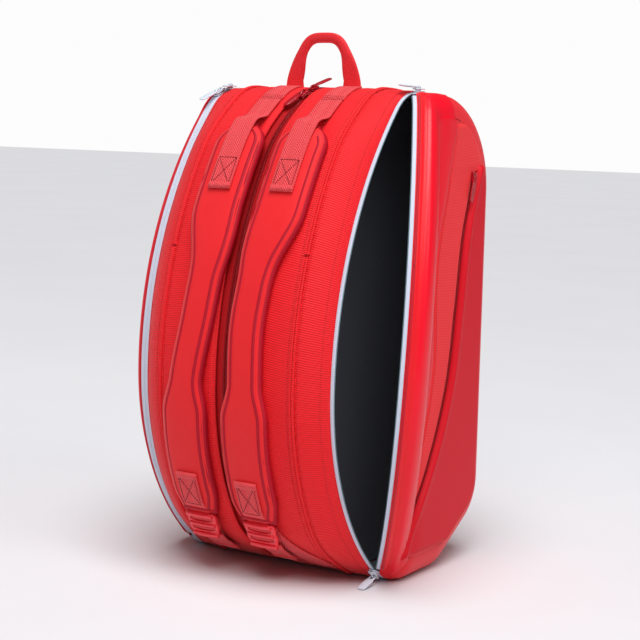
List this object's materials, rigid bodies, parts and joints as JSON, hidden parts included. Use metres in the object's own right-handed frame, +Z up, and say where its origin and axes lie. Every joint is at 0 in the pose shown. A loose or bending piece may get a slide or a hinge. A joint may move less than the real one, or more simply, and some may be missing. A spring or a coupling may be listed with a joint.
{
  "type": "racket_bag",
  "caption": "Red racket tournament bag with two padded shoulder straps, white zips and one side compartment standing open",
  "frame": {"origin": "middle of the flat base, on the floor, midway between the two long zips", "axes": "+Z up, +X to the right of someone facing the shoulder straps, straps towards -Y"},
  "size_m": [0.4105, 0.3828, 0.6785],
  "materials": {
    "twill": "ribbed polyester twill, coral red, matt",
    "strap_face": "fine plain weave over foam, matt",
    "webbing": "herringbone woven webbing",
    "buckle_plastic": "moulded acetal, satin",
    "white_tape": "woven zip tape with reverse coil, white",
    "red_tape": "woven zip tape with coil, dark red",
    "piping": "bias binding over cord",
    "lining": "dark foil backed lining, slight sheen",
    "coated_panel": "smooth coated synthetic over moulded foam, satin gloss",
    "shell_fabric": "coated fabric over foam",
    "white_metal": "white enamelled zinc",
    "red_metal": "red enamelled zinc"
  },
  "bodies": {
    "bag": {"base_panel": "twill", "body_zip_left": "white_tape", "body_zip_right": "white_tape", "center_zip": "red_tape", "divider_left": "lining", "divider_right": "lining", "front_panel": "twill", "gusset_left": "twill", "gusset_right": "twill", "handle_tabs": "webbing", "lower_webbing_left": "webbing", "lower_webbing_right": "webbing", "pocket_zip_left": "red_tape", "pocket_zip_right": "red_tape", "seam_pipings": "piping", "shell_bindings": "piping", "side_pocket_left": "coated_panel", "side_pocket_right": "coated_panel", "side_shell_left": "shell_fabric", "side_shell_right": "shell_fabric", "strap_panel_left": "twill", "strap_panel_right": "twill", "strap_yoke_left": "webbing", "strap_yoke_right": "webbing", "thermal_linings": "lining", "twill_strip_left": "twill", "twill_strip_right": "twill", "center_upper_slider": "red_metal"},
    "right_flap": {"rear_flap_right": "shell_fabric", "moulded_panel_right": "coated_panel", "rim_piping_right": "piping", "flap_zip_right": "white_tape"},
    "left_flap": {"rear_flap_left": "shell_fabric", "moulded_panel_left": "coated_panel", "rim_piping_left": "piping", "flap_zip_left": "white_tape"},
    "right_strap": {"strap_pad_right": "strap_face", "strap_top_webbing_right": "webbing"},
    "left_strap": {"strap_pad_left": "strap_face", "strap_top_webbing_left": "webbing"},
    "right_lock": {"ladder_lock_right": "buckle_plastic", "webbing_tail_right": "webbing"},
    "left_lock": {"ladder_lock_left": "buckle_plastic", "webbing_tail_left": "webbing"},
    "handle": {"top_handle": "webbing"},
    "right_upper_slider": {"right_upper_slider": "white_metal"},
    "right_upper_puller": {"right_upper_puller": "white_metal"},
    "right_lower_slider": {"right_lower_slider": "white_metal"},
    "right_lower_puller": {"right_lower_puller": "white_metal"},
    "left_upper_slider": {"left_upper_slider": "white_metal"},
    "left_upper_puller": {"left_upper_puller": "white_metal"},
    "left_lower_slider": {"left_lower_slider": "white_metal"},
    "left_lower_puller": {"left_lower_puller": "white_metal"},
    "center_upper_puller": {"center_upper_puller": "red_metal"},
    "center_lower_slider": {"center_lower_slider": "red_metal"},
    "center_lower_puller": {"center_lower_puller": "red_metal"},
    "right_pocket_slider": {"right_pocket_slider": "red_metal"},
    "right_pocket_puller": {"right_pocket_puller": "red_metal"},
    "left_pocket_slider": {"left_pocket_slider": "red_metal"},
    "left_pocket_puller": {"left_pocket_puller": "red_metal"}
  },
  "joints": [
    {"name": "right_flap_hinge", "type": "hinge", "parent": "bag", "child": "right_flap", "pos_m": [0.14, -0.0619, 0.01476], "axis": [0, 0.0956, 0.9954], "range_deg": [-34, 12]},
    {"name": "left_flap_hinge", "type": "hinge", "parent": "bag", "child": "left_flap", "pos_m": [-0.14, -0.0619, 0.01476], "axis": [0, -0.0956, -0.9954], "range_deg": [0, 46]},
    {"name": "right_strap_swing", "type": "hinge", "parent": "bag", "child": "right_strap", "pos_m": [0.053, -0.04981, 0.5924], "axis": [-1, 0, 0], "range_deg": [0, 8]},
    {"name": "right_lock_tilt", "type": "hinge", "parent": "right_strap", "child": "right_lock", "pos_m": [0.033, -0.15912, 0.07771], "axis": [-1, 0, 0], "range_deg": [0, 20]},
    {"name": "left_strap_swing", "type": "hinge", "parent": "bag", "child": "left_strap", "pos_m": [-0.037, -0.04984, 0.59243], "axis": [-1, 0, 0], "range_deg": [0, 8]},
    {"name": "left_lock_tilt", "type": "hinge", "parent": "left_strap", "child": "left_lock", "pos_m": [-0.055, -0.15902, 0.07777], "axis": [-1, 0, 0], "range_deg": [0, 20]},
    {"name": "handle_tilt", "type": "hinge", "parent": "bag", "child": "handle", "pos_m": [0, 0.013, 0.618], "axis": [1, 0, 0], "range_deg": [-33, 33]},
    {"name": "right_upper_slider_run", "type": "hinge", "parent": "bag", "child": "right_upper_slider", "pos_m": [0.14, 0.00855, 0.54177], "axis": [1, 0, 0], "range_deg": [0, 44]},
    {"name": "right_lower_slider_run", "type": "hinge", "parent": "bag", "child": "right_lower_slider", "pos_m": [0.14, 0.14, 0.25], "axis": [-1, 0, 0], "range_deg": [0, 45]},
    {"name": "left_upper_slider_run", "type": "slide", "parent": "bag", "child": "left_upper_slider", "axis": [0, 0.998, 0.0632], "range_m": [0, 0.009]},
    {"name": "left_lower_slider_run", "type": "hinge", "parent": "bag", "child": "left_lower_slider", "pos_m": [-0.14, 0.00855, 0.54177], "axis": [1, 0, 0], "range_deg": [0, 21]},
    {"name": "center_lower_slider_run", "type": "slide", "parent": "bag", "child": "center_lower_slider", "axis": [0, -0.8608, -0.5089], "range_m": [0, 0.011]},
    {"name": "right_pocket_slider_run", "type": "slide", "parent": "bag", "child": "right_pocket_slider", "axis": [0, -0.3239, -0.9461], "range_m": [0, 0.06]},
    {"name": "left_pocket_slider_run", "type": "slide", "parent": "bag", "child": "left_pocket_slider", "axis": [0, -0.3239, -0.9461], "range_m": [0, 0.06]},
    {"name": "right_upper_puller_swing", "type": "hinge", "parent": "right_upper_slider", "child": "right_upper_puller", "pos_m": [0.14, 0.00954, 0.611], "axis": [0.9703, -0.2419, 0], "range_deg": [-150, 0]},
    {"name": "right_lower_puller_swing", "type": "hinge", "parent": "right_lower_slider", "child": "right_lower_puller", "pos_m": [0.14, -0.066, 0.00998], "axis": [1, 0, 0], "range_deg": [-20, 55]},
    {"name": "left_upper_puller_swing", "type": "hinge", "parent": "left_upper_slider", "child": "left_upper_puller", "pos_m": [-0.14, 0.00417, 0.61086], "axis": [0.9063, 0.4218, 0.0267], "range_deg": [-150, 0]},
    {"name": "left_lower_puller_swing", "type": "hinge", "parent": "left_lower_slider", "child": "left_lower_puller", "pos_m": [-0.14, -0.02112, 0.60432], "axis": [0.9703, -0.2186, -0.1037], "range_deg": [-105, 0]},
    {"name": "center_upper_puller_swing", "type": "hinge", "parent": "bag", "child": "center_upper_puller", "pos_m": [0, -0.01151, 0.6103], "axis": [0.9659, -0.2484, -0.0727], "range_deg": [0, 150]},
    {"name": "center_lower_puller_swing", "type": "hinge", "parent": "center_lower_slider", "child": "center_lower_puller", "pos_m": [0, -0.03599, 0.60252], "axis": [0.9613, -0.2223, -0.163], "range_deg": [-120, 0]},
    {"name": "right_pocket_puller_swing", "type": "hinge", "parent": "right_pocket_slider", "child": "right_pocket_puller", "pos_m": [0.1792, 0.0965, 0.5], "axis": [0, 0.9461, -0.3239], "range_deg": [-110, 0]},
    {"name": "left_pocket_puller_swing", "type": "hinge", "parent": "left_pocket_slider", "child": "left_pocket_puller", "pos_m": [-0.1792, 0.0965, 0.5], "axis": [0, -0.9461, 0.3239], "range_deg": [-110, 0]}
  ]
}
